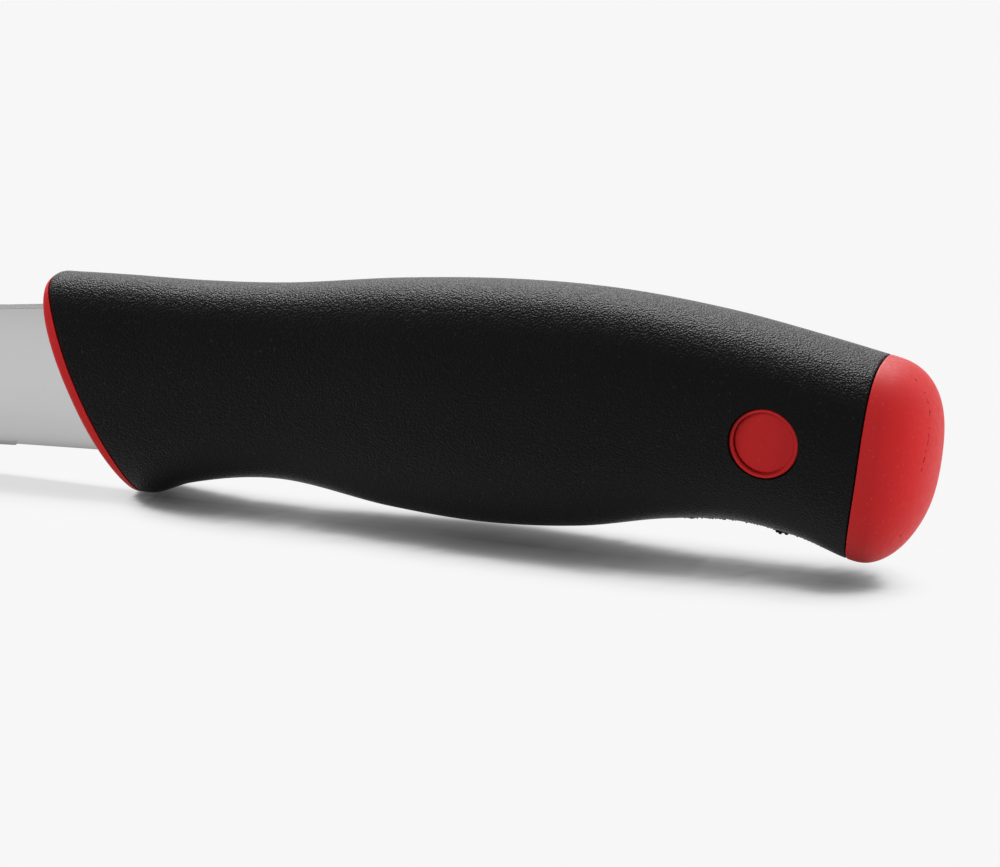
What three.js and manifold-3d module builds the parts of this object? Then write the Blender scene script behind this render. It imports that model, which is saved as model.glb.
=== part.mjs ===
// Paring knife with a soft grip on a hard moulded handle, standing on its edge.
// Millimetres. +X runs from the blade's point to the butt, +Z is up, and the badge is on the -Y side.

import * as THREE from 'three';
import { mergeVertices } from 'three/addons/utils/BufferGeometryUtils.js';
import Module from 'manifold-3d';

const wasm = await Module();
wasm.setup();

// Fits
const fit = 0.3; // all round, between pieces that slide into each other
const seam = 0.15; // at the joints that show between the mouldings

// Outer lines of the handle. Each pair is a place along X, from the top of the front edge, and a value there:
// the height of the top line, the height of the bottom line and half of the thickness.
const topLine = [
  [0, 25.6], [0.7, 26.4], [1.4, 26.7], [3, 26.8], [10, 27.1], [20, 27.4], [30, 28.15], [45, 30.3], [60, 31.6],
  [72, 31.7], [85, 30.5], [97, 28.4], [113, 25.15],
];
const bottomLine = [
  [9, 0.3], [13.8, 0], [18.7, 1.9], [30, 3.85], [45, 2.1], [57, 1.6], [69, 2.6], [80, 4.95], [88, 5.75],
  [96, 4.65], [104, 2.25], [113, 4.1],
];
const halfLine = [[0, 7], [15, 7.2], [30, 7.3], [55, 9.1], [85, 9.4], [104, 9.8], [113, 9.8]];
const squareness = 2.4; // exponent of the sections: 2 is an ellipse, more has flatter sides

// Slanted edges across the handle, in the side view, over the height where they are measured
const edgeHeight = 26.65;
const frontSetback = 11.9; // of the guard, behind the top of the front edge
const frontBow = 0.95; // of the middle of the front edge, towards the blade
const capFoot = 101.2; // lower end of the joint between grip and butt cap, from the top of the front edge
const capLean = 3.5; // of that joint, towards the butt
const capBow = 0.9; // of the middle of that joint, towards the butt

// Front collar
const rimWidth = 1.5; // part of the collar that shows in front of the grip, at mid-height
const rimLeast = 0.6; // the same at the top and at the bottom, where the grip reaches further forward
const rimTaper = 5; // exponent of the way from one to the other
const rimRound = 0.8; // rounding of its front edge
const plugLength = 6; // part of the collar that sits inside the grip

// Grip
const gripWall = 2.2;

// Butt cap
const capLength = 7.6; // at mid-height
const capTaper = 0.5; // by which it is longer at its foot than at its top
const capCrease = 0.27; // share of its length where the sides turn into the domed end
const capRoundPlan = 2.2; // exponents of the domed end, seen from above and from the side
const capRoundSide = 2.9;
const spigotWall = 5.6; // from the outside of the handle to the spigot
const spigotLength = 7;

// Badge
const badgeFromCap = 8.3; // of its centre, in front of the foot of the cap's joint
const badgeHeight = 18.35; // of its centre, above the lowest point of the guard
const badgeRadius = 4.15;
const badgeRim = 0.35; // width of the raised rim
const badgeFloor = 0.5; // depth of the floor behind the rim
const badgeSink = 0.1; // of the rim, behind the surface of the grip
const badgePocket = 1; // depth of the seat in the core

// Blade, measured from its heel along the line of the edge
const heelRise = 4.47; // of the heel above the lowest point of the guard
const bladePitch = THREE.MathUtils.degToRad(3.5); // the point hangs lower than the heel
const bladeLength = 100;
const bladeHeight = 18.65; // at the heel
const bladeStock = 1.8; // thickness of the sheet
const spineTaper = 0.039; // fall of the straight spine, per millimetre
const spineStraight = 58; // where the spine starts to curve down
const ricassoLength = 14.3; // unsharpened length in front of the heel
const ricassoRelief = 0.25; // of its lower side above the line of the edge, at its front end
const edgeRunout = 0.4; // length in which the bevel runs out in front of the ricasso
const edgeStraight = 70; // where the edge starts to curve up
const pointHeight = 6.5;
const pointBlunt = 0.5; // height of the blade at its very point
const bevelHeight = 0.6;
const bevelThickness = 0.4; // at the top of the bevel
const edgeThickness = 0.04;
const spineChamfer = 0.25;
const chamferShare = 0.15; // most of the blade's height that the chamfer takes, near the point
const shoulderDepth = 3; // of the blade's rear end, behind the front edge of the handle

// Tang
const tangLength = 75;
const tangBase = 4.5; // lower edge of the tang above the line of the edge
const tangFront = 10; // height of the tang at the shoulder
const tangRear = 7; // height of the tang at its end
const tangLap = 1.5; // of the tang into the blade

// Pins through core and tang
const pinRadius = 2;
const pinFront = 24; // place of the front pin along the tang, from the heel
const pinRear = 21; // place of the rear pin, from the end of the tang
const pinShort = 0.5; // of the surface of the core, at each end

// Fineness of the curved faces
const ringPoints = 32;
const gripRings = 30;
const coreRings = 18;
const capRings = 9;
const roundSteps = 3;
const pointSteps = 10;
const circlePoints = 32;
const leanPasses = 12; // for a leaning section to settle on the outer lines
const weldReach = 1e-4; // points closer than this are one

function material(color, roughness, metalness) {
  return new THREE.MeshStandardMaterial({ color, roughness, metalness, flatShading: true });
}

// Closed geometry to solid and back

function solid(geometry) {
  const bare = geometry.clone();
  bare.deleteAttribute('normal');
  bare.deleteAttribute('uv');
  const merged = mergeVertices(bare, weldReach);
  const vertProperties = new Float32Array(merged.attributes.position.array);
  const triVerts = new Uint32Array(merged.index.array);
  return new wasm.Manifold(new wasm.Mesh({ numProp: 3, vertProperties, triVerts }));
}

function geometryOf(body) {
  const mesh = body.getMesh();
  const geometry = new THREE.BufferGeometry();
  geometry.setAttribute('position', new THREE.BufferAttribute(mesh.vertProperties, 3));
  geometry.setIndex(new THREE.BufferAttribute(mesh.triVerts, 1));
  return geometry;
}

// Skin over rings that run along +X. Seen from +X, each ring goes up its right side and down its left side,
// with as many points on both. The ends are closed straight across from side to side.
function loft(rings) {
  const count = rings[0].length;
  const last = (rings.length - 1) * count;
  const triangles = [];
  for (let k = 0; k + 1 < rings.length; k += 1) {
    for (let j = 0; j < count; j += 1) {
      const here = k * count + j;
      const next = k * count + ((j + 1) % count);
      triangles.push(here, next, next + count, here, next + count, here + count);
    }
  }
  for (let j = 0; j + 1 < count / 2; j += 1) {
    const mirrored = count - 1 - j;
    triangles.push(j, mirrored, mirrored - 1, j, mirrored - 1, j + 1);
    triangles.push(last + j, last + j + 1, last + mirrored - 1);
    triangles.push(last + j, last + mirrored - 1, last + mirrored);
  }
  const geometry = new THREE.BufferGeometry().setFromPoints(rings.flat());
  geometry.setIndex(triangles);
  return geometry;
}

function steps(count) {
  return Array.from({ length: count + 1 }, (_, k) => k / count);
}

// Surface of the handle

function line(pairs) {
  const curve = new THREE.CubicInterpolant(pairs.map((pair) => pair[0]), pairs.map((pair) => pair[1]), 1);
  return (x) => curve.evaluate(x)[0];
}

const topAt = line(topLine);
const bottomAt = line(bottomLine);
const halfAt = line(halfLine);

function frontEdge(z) {
  const share = z / edgeHeight;
  return frontSetback * (1 - share) - frontBow * 4 * share * (1 - share);
}

function capEdge(z) {
  const share = z / edgeHeight;
  return capFoot + capLean * share + capBow * 4 * share * (1 - share);
}

// Width of the rim. upward runs from -1 at the bottom of a section to 1 at its top.
function rimAt(upward) {
  return rimLeast + (rimWidth - rimLeast) * (1 - Math.abs(upward) ** rimTaper);
}

// One section of the handle. placeOf gives X for each height, because the sections lean like the edges.
function section(placeOf, inset, planScale = 1, sideScale = 1) {
  const ring = [];
  for (let j = 0; j < ringPoints; j += 1) {
    const angle = ((j + 0.5) / ringPoints) * 2 * Math.PI - Math.PI / 2;
    const across = Math.sign(Math.cos(angle)) * Math.abs(Math.cos(angle)) ** (2 / squareness);
    const upward = Math.sign(Math.sin(angle)) * Math.abs(Math.sin(angle)) ** (2 / squareness);
    let z = edgeHeight / 2;
    for (let pass = 0; pass < leanPasses; pass += 1) {
      const x = placeOf(z, upward);
      const middle = (topAt(x) + bottomAt(x)) / 2;
      z = middle + upward * sideScale * ((topAt(x) - bottomAt(x)) / 2 - inset);
    }
    const place = placeOf(z, upward);
    ring.push(new THREE.Vector3(place, across * planScale * (halfAt(place) - inset), z));
  }
  return ring;
}

// Sections from one leaning place to another
function sections(startOf, endOf, inset, count) {
  return steps(count).map((share) => section((z, upward) => {
    const start = startOf(z, upward);
    return start + (endOf(z) - start) * share;
  }, inset));
}

// Distance from the mid-plane to the side of the handle
function sideAt(x, z) {
  const middle = (topAt(x) + bottomAt(x)) / 2;
  const rise = (topAt(x) - bottomAt(x)) / 2;
  return halfAt(x) * (1 - Math.abs((z - middle) / rise) ** squareness) ** (1 / squareness);
}

// Blade and tang, in the blade's own frame: X back from the heel, Z up from the line of the edge

const lean = frontSetback / edgeHeight;
const flankSlope = (bladeStock - bevelThickness) / 2 / (bladeHeight - bevelHeight);
const heel = new THREE.Vector3(frontEdge(heelRise), 0, heelRise);
const bladePlace = new THREE.Matrix4().makeRotationY(-bladePitch).setPosition(heel);

function spineAt(reach) {
  const fall = bladeHeight - spineTaper * bladeLength - pointHeight - pointBlunt / 2;
  const bend = Math.max(0, reach - spineStraight) / (bladeLength - spineStraight);
  return bladeHeight - spineTaper * reach - fall * bend ** 2;
}

function edgeAt(reach) {
  const bend = Math.max(0, reach - edgeStraight) / (bladeLength - edgeStraight);
  return (pointHeight - pointBlunt / 2) * bend ** 2;
}

// Section of the blade: a flat back with broken edges, flat flanks and a bevel down to the edge
function bladeSection(placeOf, spine, edge, edgeWidth, grow = 0) {
  const bevel = Math.min(bevelHeight, (spine - edge) / 2);
  const shoulder = bevelThickness / 2 + grow;
  const chamfer = Math.min(spineChamfer, (spine - edge) * chamferShare);
  const back = shoulder + flankSlope * (spine - chamfer - edge - bevel);
  const rightSide = [
    [edgeWidth / 2 + grow, edge - grow], [shoulder, edge + bevel],
    [back, spine + grow - chamfer], [back - chamfer, spine + grow],
  ];
  const leftSide = rightSide.map(([y, z]) => [-y, z]).reverse();
  return [...rightSide, ...leftSide].map(([y, z]) => new THREE.Vector3(placeOf(z), y, z));
}

function shoulderSection(depth, grow = 0) {
  return bladeSection((z) => depth - lean * z, bladeHeight, 0, bevelThickness, grow);
}

function bladeBody() {
  const curved = steps(pointSteps).map((share) => bladeLength + (spineStraight - bladeLength) * share);
  const reaches = [...curved, ricassoLength + edgeRunout];
  const sharp = reaches.map((reach) => {
    return bladeSection(() => -reach, spineAt(reach), edgeAt(reach), edgeThickness);
  });
  const blunt = bladeSection(() => -ricassoLength, spineAt(ricassoLength), ricassoRelief, bevelThickness);
  return loft([...sharp, blunt, shoulderSection(shoulderDepth)]);
}

// Room for the blade in the collar
function bladeSlot() {
  const ahead = bladeSection(() => -ricassoLength, spineAt(ricassoLength), 0, bevelThickness, fit);
  return loft([ahead, shoulderSection(shoulderDepth + fit, fit)]).applyMatrix4(bladePlace);
}

function tangBody(grow, withHoles) {
  const low = tangBase - grow;
  const high = tangBase + tangFront + grow;
  const endMiddle = tangBase + tangFront / 2;
  const endRadius = tangRear / 2 + grow;
  const start = shoulderDepth - tangLap - grow;
  const outline = new THREE.Shape();
  outline.moveTo(start - lean * low, low);
  outline.lineTo(tangLength - tangRear / 2, endMiddle - endRadius);
  outline.absarc(tangLength - tangRear / 2, endMiddle, endRadius, -Math.PI / 2, Math.PI / 2, false);
  outline.lineTo(start - lean * high, high);
  outline.closePath();
  if (withHoles) {
    Object.values(pinPlaces).forEach((along) => {
      outline.holes.push(new THREE.Path().absarc(along, endMiddle, pinRadius + fit, 0, 2 * Math.PI, true));
    });
  }
  const depth = bladeStock + 2 * grow;
  const curveSegments = circlePoints / 2;
  const sheet = new THREE.ExtrudeGeometry(outline, { depth, bevelEnabled: false, curveSegments });
  return sheet.translate(0, 0, -depth / 2).rotateX(Math.PI / 2);
}

function bladeGeometry() {
  const whole = solid(bladeBody()).add(solid(tangBody(0, true)));
  return geometryOf(whole).applyMatrix4(bladePlace);
}

// Round pieces that lie across the handle

const pinPlaces = { tang_pin_front: pinFront, tang_pin_rear: tangLength - pinRear };

function crossPlace(along) {
  return new THREE.Vector3(along, 0, tangBase + tangFront / 2).applyMatrix4(bladePlace);
}

function pinGeometry(along) {
  const place = crossPlace(along);
  const reach = halfAt(place.x) - gripWall - fit - pinShort;
  return new THREE.CylinderGeometry(pinRadius, pinRadius, 2 * reach, circlePoints)
    .translate(place.x, place.y, place.z);
}

function pinBore(along) {
  const place = crossPlace(along);
  return new THREE.CylinderGeometry(pinRadius + fit, pinRadius + fit, 2 * halfAt(place.x), circlePoints)
    .translate(place.x, place.y, place.z);
}

// The badge's axis is square to the side of the grip between the badge's upper and lower edges
const badgeAlong = capFoot - badgeFromCap;
const badgeUpper = sideAt(badgeAlong, badgeHeight + badgeRadius);
const badgeLower = sideAt(badgeAlong, badgeHeight - badgeRadius);
const badgeTilt = Math.atan2(badgeLower - badgeUpper, 2 * badgeRadius);
const badgePlace = new THREE.Matrix4()
  .makeRotationX(Math.PI - badgeTilt)
  .setPosition(badgeAlong, -(badgeUpper + badgeLower) / 2, badgeHeight);
const badgeDepth = gripWall + fit + badgePocket;

function badgeGeometry() {
  const face = -badgeSink;
  const back = fit - badgeDepth;
  const profile = [
    [0, back], [badgeRadius, back], [badgeRadius, face], [badgeRadius - badgeRim, face],
    [badgeRadius - badgeRim, face - badgeFloor], [0, face - badgeFloor],
  ];
  const points = profile.map(([radius, height]) => new THREE.Vector2(radius, height));
  return new THREE.LatheGeometry(points, circlePoints).applyMatrix4(badgePlace);
}

// Window in the grip and seat in the core
function badgeRoom() {
  const radius = badgeRadius + seam;
  return new THREE.CylinderGeometry(radius, radius, 2 * badgeDepth, circlePoints).applyMatrix4(badgePlace);
}

// Mouldings of the handle

function rimEnd(z, upward) {
  return frontEdge(z) + rimAt(upward);
}

function collarGeometry() {
  const rounded = steps(roundSteps).map((share) => {
    const angle = (share * Math.PI) / 2;
    const depth = (upward) => ((rimRound * rimAt(upward)) / rimWidth) * (1 - Math.cos(angle));
    return section((z, upward) => frontEdge(z) + depth(upward), rimRound * (1 - Math.sin(angle)));
  });
  const plugEnd = (z) => frontEdge(z) + rimWidth + plugLength;
  const plugInset = gripWall + fit;
  const body = loft([
    ...rounded, section(rimEnd, 0), section(rimEnd, plugInset), section(plugEnd, plugInset),
  ]);
  const slotted = solid(body).subtract(solid(bladeSlot()));
  return geometryOf(slotted.subtract(solid(tangBody(fit, false).applyMatrix4(bladePlace))));
}

function coreGeometry() {
  const start = (z) => frontEdge(z) + rimWidth + plugLength + fit;
  const end = (z) => capEdge(z) - seam;
  let body = solid(loft(sections(start, end, gripWall + fit, coreRings)));
  body = body.subtract(solid(tangBody(fit, false).applyMatrix4(bladePlace)));
  Object.values(pinPlaces).forEach((along) => {
    body = body.subtract(solid(pinBore(along)));
  });
  body = body.subtract(solid(badgeRoom()));
  return geometryOf(body.subtract(solid(spigot(fit))));
}

function gripGeometry() {
  const start = (z, upward) => rimEnd(z, upward) + seam;
  const end = (z) => capEdge(z) - seam;
  const outside = solid(loft(sections(start, end, 0, gripRings)));
  const startInside = (z) => frontEdge(z) - gripWall;
  const endInside = (z) => capEdge(z) + gripWall;
  const inside = solid(loft(sections(startInside, endInside, gripWall, gripRings)));
  return geometryOf(outside.subtract(inside).subtract(solid(badgeRoom())));
}

function spigot(grow) {
  const start = (z) => capEdge(z) - spigotLength - grow;
  const end = (z) => capEdge(z) + seam;
  return loft([section(start, spigotWall - grow), section(end, spigotWall - grow)]);
}

// Half-width of a domed end, as a share of its full width. along runs from 0 at its start to 1 at its tip.
function domeShare(along, power) {
  return (1 - along ** power) ** (1 / power);
}

function capGeometry() {
  const fullPlan = domeShare(capCrease, capRoundPlan);
  const places = steps(capRings).slice(0, -1).map((share) => {
    return capCrease + (1 - capCrease) * Math.sin((share * Math.PI) / 2);
  });
  const dome = [0, ...places].map((along) => {
    const plan = Math.min(1, domeShare(along, capRoundPlan) / fullPlan);
    const reach = (z) => (capLength + capTaper * (0.5 - z / edgeHeight)) * along;
    return section((z) => capEdge(z) + reach(z), 0, plan, domeShare(along, capRoundSide));
  });
  return geometryOf(solid(loft(dome)).add(solid(spigot(0))));
}

// Assembly

const steel = material(0xb9bab9, 0.34, 1);
const pinSteel = material(0x9a9b9c, 0.4, 1);
const redPlastic = material(0xb8262a, 0.42, 0);
const softBlack = material(0x1b1b1b, 0.75, 0);

const knife = new THREE.Group();

function place(name, geometry, finish) {
  const mesh = new THREE.Mesh(geometry, finish.clone());
  mesh.name = name;
  knife.add(mesh);
}

place('blade', bladeGeometry(), steel);
place('front_collar', collarGeometry(), redPlastic);
place('handle_core', coreGeometry(), redPlastic);
Object.entries(pinPlaces).forEach(([name, along]) => place(name, pinGeometry(along), pinSteel));
place('grip', gripGeometry(), softBlack);
place('badge', badgeGeometry(), redPlastic);
place('butt_cap', capGeometry(), redPlastic);

// The origin is under the middle of the knife, on the surface that it stands on
const box = new THREE.Box3().setFromObject(knife);
knife.position.set(-(box.min.x + box.max.x) / 2, -(box.min.y + box.max.y) / 2, -box.min.z);

export default knife;
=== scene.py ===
import math

import bmesh
import bpy
from mathutils import Matrix, Vector
from mathutils.bvhtree import BVHTree


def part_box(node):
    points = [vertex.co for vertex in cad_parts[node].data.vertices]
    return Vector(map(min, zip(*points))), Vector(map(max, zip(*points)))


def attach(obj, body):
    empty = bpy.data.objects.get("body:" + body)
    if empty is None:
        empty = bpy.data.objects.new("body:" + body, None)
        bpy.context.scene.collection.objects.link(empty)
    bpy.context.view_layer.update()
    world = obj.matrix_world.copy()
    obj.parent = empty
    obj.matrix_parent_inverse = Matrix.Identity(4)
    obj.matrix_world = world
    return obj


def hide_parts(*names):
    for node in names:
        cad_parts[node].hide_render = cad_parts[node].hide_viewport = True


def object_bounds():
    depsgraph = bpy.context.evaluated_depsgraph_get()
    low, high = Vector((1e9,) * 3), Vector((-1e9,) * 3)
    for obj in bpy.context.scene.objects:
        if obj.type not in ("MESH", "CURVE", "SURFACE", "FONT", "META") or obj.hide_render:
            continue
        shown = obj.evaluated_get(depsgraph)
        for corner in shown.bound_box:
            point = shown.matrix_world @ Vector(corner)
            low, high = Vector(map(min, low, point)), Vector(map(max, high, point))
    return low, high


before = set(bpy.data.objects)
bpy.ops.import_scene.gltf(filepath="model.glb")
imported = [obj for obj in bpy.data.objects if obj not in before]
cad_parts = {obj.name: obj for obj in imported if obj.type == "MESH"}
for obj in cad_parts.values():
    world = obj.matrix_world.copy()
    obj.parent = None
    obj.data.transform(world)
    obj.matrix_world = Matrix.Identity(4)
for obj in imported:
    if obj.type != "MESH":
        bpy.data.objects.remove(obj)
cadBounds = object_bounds()
scene = bpy.context.scene
scene.view_settings.view_transform = "Standard"
mm = 0.001
print("frame loaded:", len(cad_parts), "nodes")


# small helpers for nodes and meshes

def addNode(tree, kind, inputs=None, **settings):
    node = tree.nodes.new(kind)
    for name, value in settings.items():
        setattr(node, name, value)
    for key, value in (inputs or {}).items():
        if isinstance(value, bpy.types.NodeSocket):
            tree.links.new(value, node.inputs[key])
        else:
            node.inputs[key].default_value = value
    return node


def calc(tree, operation, first, second=0.0):
    return addNode(tree, "ShaderNodeMath", {0: first, 1: second}, operation=operation).outputs[0]


def shaped(tree, value, pairs):  # a float curve through the pairs
    node = addNode(tree, "ShaderNodeFloatCurve", {"Value": value})
    node.mapping.extend = "HORIZONTAL"
    points = node.mapping.curves[0].points
    for pair in pairs[1:-1]:
        points.new(*pair)
    points[0].location = pairs[0]
    points[len(points) - 1].location = pairs[-1]
    node.mapping.update()
    return node.outputs[0]


mixSockets = {"RGBA": (6, 7, 2), "FLOAT": (2, 3, 0)}  # of the Mix node: first, second, result


def mixed(tree, share, first, second, kind="RGBA", blend="MIX"):
    firstAt, secondAt, resultAt = mixSockets[kind]
    sockets = {0: share, firstAt: first, secondAt: second}
    return addNode(tree, "ShaderNodeMix", sockets, data_type=kind, blend_type=blend).outputs[resultAt]


def newTree(name, kind, inputs, outputs):
    tree = bpy.data.node_groups.new(name, kind)
    for direction, sockets in (("INPUT", inputs), ("OUTPUT", outputs)):
        for label, socketKind in sockets.items():
            tree.interface.new_socket(label, in_out=direction, socket_type="NodeSocket" + socketKind)
    given = addNode(tree, "NodeGroupInput").outputs
    return tree, given, addNode(tree, "NodeGroupOutput")


def newPiece(name, mesh):
    piece = bpy.data.objects.new(name, mesh)
    scene.collection.objects.link(piece)
    return piece


def settle(piece):  # the evaluated result becomes the piece's plain mesh
    depsgraph = bpy.context.evaluated_depsgraph_get()
    finished = bpy.data.meshes.new_from_object(piece.evaluated_get(depsgraph), depsgraph=depsgraph)
    piece.modifiers.clear()
    piece.data = finished
    finished.name = piece.name


def grow(name, mesh, tree, values):  # runs a node tree on a mesh, inputs set by identifier
    piece = newPiece(name, mesh)
    modifier = piece.modifiers.new(tree.name, "NODES")
    modifier.node_group = tree
    for item in tree.interface.items_tree:
        if item.in_out == "INPUT" and item.name in values:
            modifier[item.identifier] = values[item.name]
    settle(piece)
    piece.data.materials.clear()
    piece.data.materials.append(values["finish"])
    return piece


def named(tree, label, kind="FLOAT"):  # an attribute of the geometry
    node = addNode(tree, "GeometryNodeInputNamedAttribute", {"Name": label}, data_type=kind)
    return node.outputs["Attribute"]


def endTree(tree, geometry, finish, result):  # real geometry with its finish
    real = addNode(tree, "GeometryNodeRealizeInstances", {"Geometry": geometry}).outputs[0]
    painted = addNode(tree, "GeometryNodeSetMaterial", {"Geometry": real, "Material": finish}).outputs[0]
    tree.links.new(painted, result.inputs["Geometry"])


def carve(piece, cutter, operation="DIFFERENCE"):
    modifier = piece.modifiers.new("carve", "BOOLEAN")
    modifier.operation = operation
    modifier.solver = "EXACT"
    modifier.object = cutter
    for finish in piece.data.materials:  # cut faces keep the piece's finish
        cutter.data.materials.append(finish)
    settle(piece)
    bpy.data.objects.remove(cutter)


def cleanMesh(mesh, reach=1e-7):  # doubles welded, faces outwards
    work = bmesh.new()
    work.from_mesh(mesh)
    bmesh.ops.remove_doubles(work, verts=work.verts, dist=reach)
    bmesh.ops.dissolve_degenerate(work, edges=work.edges, dist=reach)
    bmesh.ops.recalc_face_normals(work, faces=work.faces)
    work.to_mesh(mesh)
    work.free()


def smoothMesh(mesh, sharpAngle=35):
    mesh.shade_smooth()
    mesh.set_sharp_from_angle(angle=math.radians(sharpAngle))


def meshOf(name, points, faces=(), edges=()):
    mesh = bpy.data.meshes.new(name)
    mesh.from_pydata(points, edges, faces)
    return mesh


def writeValues(mesh, label, values, domain="POINT"):
    mesh.attributes.new(label, "FLOAT", domain).data.foreach_set("value", values)


def lathe(name, profile, points, place):  # (radius, height) pairs turned round Z
    rings = []
    for radius, height in profile:
        turns = [2 * math.pi * k / points for k in range(points)]
        rings.append([Vector((radius * math.cos(a), radius * math.sin(a), height)) for a in turns])
    corners = [place @ corner for ring in rings for corner in ring]
    faces = []
    for row in range(len(rings) - 1):
        for k in range(points):
            nearSide, farSide = row * points + k, row * points + (k + 1) % points
            faces.append((nearSide, farSide, farSide + points, nearSide + points))
    mesh = meshOf(name, corners, faces)
    cleanMesh(mesh)
    return newPiece(name, mesh)


def roundCutter(name, radius, reach, points, place):
    return lathe(name, [(0, -reach), (radius, -reach), (radius, reach), (0, reach)], points, place)


def quarter(count):  # angles from 0 to 90 degrees
    return [k / count * math.pi / 2 for k in range(count + 1)]


def steps(count):
    return [k / count for k in range(count + 1)]


# lines of the handle, as in the solids: millimetres from the top of its front edge

handle = {
    "top": [
        (0, 25.6), (0.7, 26.4), (1.4, 26.7), (3, 26.8), (10, 27.1), (20, 27.4), (30, 28.15), (45, 30.3),
        (60, 31.6), (72, 31.7), (85, 30.5), (97, 28.4), (113, 25.15),
    ],
    "bottom": [
        (9, 0.3), (13.8, 0), (18.7, 1.9), (30, 3.85), (45, 2.1), (57, 1.6), (69, 2.6), (80, 4.95),
        (88, 5.75), (96, 4.65), (104, 2.25), (113, 4.1),
    ],
    "half": [(0, 7), (15, 7.2), (30, 7.3), (55, 9.1), (85, 9.4), (104, 9.8), (113, 9.8)],
    "seam": 0.15,
    "fit": 0.3,
    "wall": 2.2,  # of the grip
}
skin = {
    "squareness": 2.4,
    "edgeHeight": 26.65,
    "frontSetback": 11.9,
    "frontBow": 0.95,
    "capFoot": 101.2,
    "capLean": 3.5,
    "capBow": 0.9,
    "rimWidth": 1.5,
    "rimLeast": 0.6,
    "rimTaper": 5.0,
    "ringPoints": 144,
    "leanPasses": 10,
}


def lineAt(pairs, x):  # cubic through the pairs, its slope at each the mean of both sides
    x = min(max(x, pairs[0][0]), pairs[-1][0])
    slopes = [(b[1] - a[1]) / (b[0] - a[0]) for a, b in zip(pairs, pairs[1:])]
    tangents = [(a + b) / 2 for a, b in zip(slopes[:1] + slopes, slopes + slopes[-1:])]
    k = max(j for j in range(len(slopes)) if x >= pairs[j][0])
    length = pairs[k + 1][0] - pairs[k][0]
    t = (x - pairs[k][0]) / length
    eased = slopes[k] * t * t * (3 - 2 * t)
    bent = t * (1 - t) * (tangents[k] * (1 - t) - tangents[k + 1] * t)
    return pairs[k][1] + length * (eased + bent)


def frontEdge(z):
    share = z / skin["edgeHeight"]
    return skin["frontSetback"] * (1 - share) - skin["frontBow"] * 4 * share * (1 - share)


def sideAt(x, z):  # from the mid-plane to the side of the handle
    top = lineAt(handle["top"], x)
    bottom = lineAt(handle["bottom"], x)
    lift = abs(2 * z - top - bottom) / (top - bottom)
    power = skin["squareness"]
    return lineAt(handle["half"], x) * (1 - lift ** power) ** (1 / power)


blade = {
    "heelRise": 4.47,  # of the heel over the lowest point of the guard
    "pitch": math.radians(3.5),  # the point is lower than the heel
    "length": 100,
    "height": 18.65,
    "stock": 1.8,
    "spineTaper": 0.039,
    "spineStraight": 58,
    "ricasso": 14.3,
    "ricassoRelief": 0.25,
    "runout": 0.4,
    "edgeStraight": 70,
    "pointHeight": 6.5,
    "pointBlunt": 0.5,
    "bevelHeight": 0.6,
    "bevelThickness": 0.4,
    "edgeThickness": 0.04,
    "spineRound": 0.06,
    "roundShare": 0.15,  # of the height, the most that the spine's rounding takes
    "shoulderDepth": 3,
    "tangLength": 75,
    "tangBase": 4.5,
    "tangFront": 10,
    "tangRear": 7,
    "tangLap": 1.5,  # by which the tang starts inside the blade
    "pinRadius": 2,
    "pins": (24, 54),
    "pointSteps": 56,
    "noseSteps": 8,
    "noseLeast": 0.02,  # share of the height that is left at the very point
    "roundSteps": 4,
    "tangEndSteps": 32,
    "pinPoints": 48,
    "sharpAngle": 8,
    "slotGap": 0.06,  # between the blade and the collar
    "spineFacing": (0.93, 0.995),  # share of the normal in the blade's plane over which a face is its back
    "spineUpward": 0.5,
}

# the front pin shows where the handle's own frame lies in the part's frame
pinMiddle = Vector((blade["pins"][0], 0, blade["tangBase"] + blade["tangFront"] / 2))
bladeTurn = Matrix.Translation((frontEdge(blade["heelRise"]), 0, blade["heelRise"]))
bladeTurn = bladeTurn @ Matrix.Rotation(-blade["pitch"], 4, "Y")
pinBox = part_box("tang_pin_front")
handleShift = (pinBox[0] + pinBox[1]) / 2 - (bladeTurn @ pinMiddle) * mm
handlePlace = Matrix.Translation(handleShift) @ Matrix.Scale(mm, 4)
bladePlace = handlePlace @ bladeTurn
print("handle frame at", [round(value / mm, 3) for value in handleShift])


# effects that several finishes share

effects = {
    "fineToGrain": 0.8,  # scale of the finer noise beside the pebbles
    "streaksToLines": 0.12,
    "specksPerMetre": 2600.0,
    "speckLevels": (0.64, 0.76),
}


def makeMouldGrain():  # pebbled skin of a moulding
    tree, given, result = newTree(
        "mouldGrain", "ShaderNodeTree",
        {"grainsPerMetre": "Float", "softness": "Float", "fineShare": "Float"},
        {"height": "Float", "pits": "Float"},
    )
    place = addNode(tree, "ShaderNodeTexCoord").outputs["Object"]
    cells = {"Vector": place, "Scale": given["grainsPerMetre"], "Smoothness": given["softness"]}
    pebbles = addNode(tree, "ShaderNodeTexVoronoi", cells, feature="SMOOTH_F1")
    fineScale = calc(tree, "MULTIPLY", given["grainsPerMetre"], effects["fineToGrain"])
    fine = addNode(tree, "ShaderNodeTexNoise", {"Vector": place, "Scale": fineScale, "Detail": 4.0})
    pits = pebbles.outputs["Distance"]
    dome = calc(tree, "SUBTRACT", 1.0, pits)
    fineHeight = calc(tree, "MULTIPLY", fine.outputs[0], given["fineShare"])
    tree.links.new(calc(tree, "ADD", dome, fineHeight), result.inputs["height"])
    tree.links.new(pits, result.inputs["pits"])
    return tree


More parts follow.
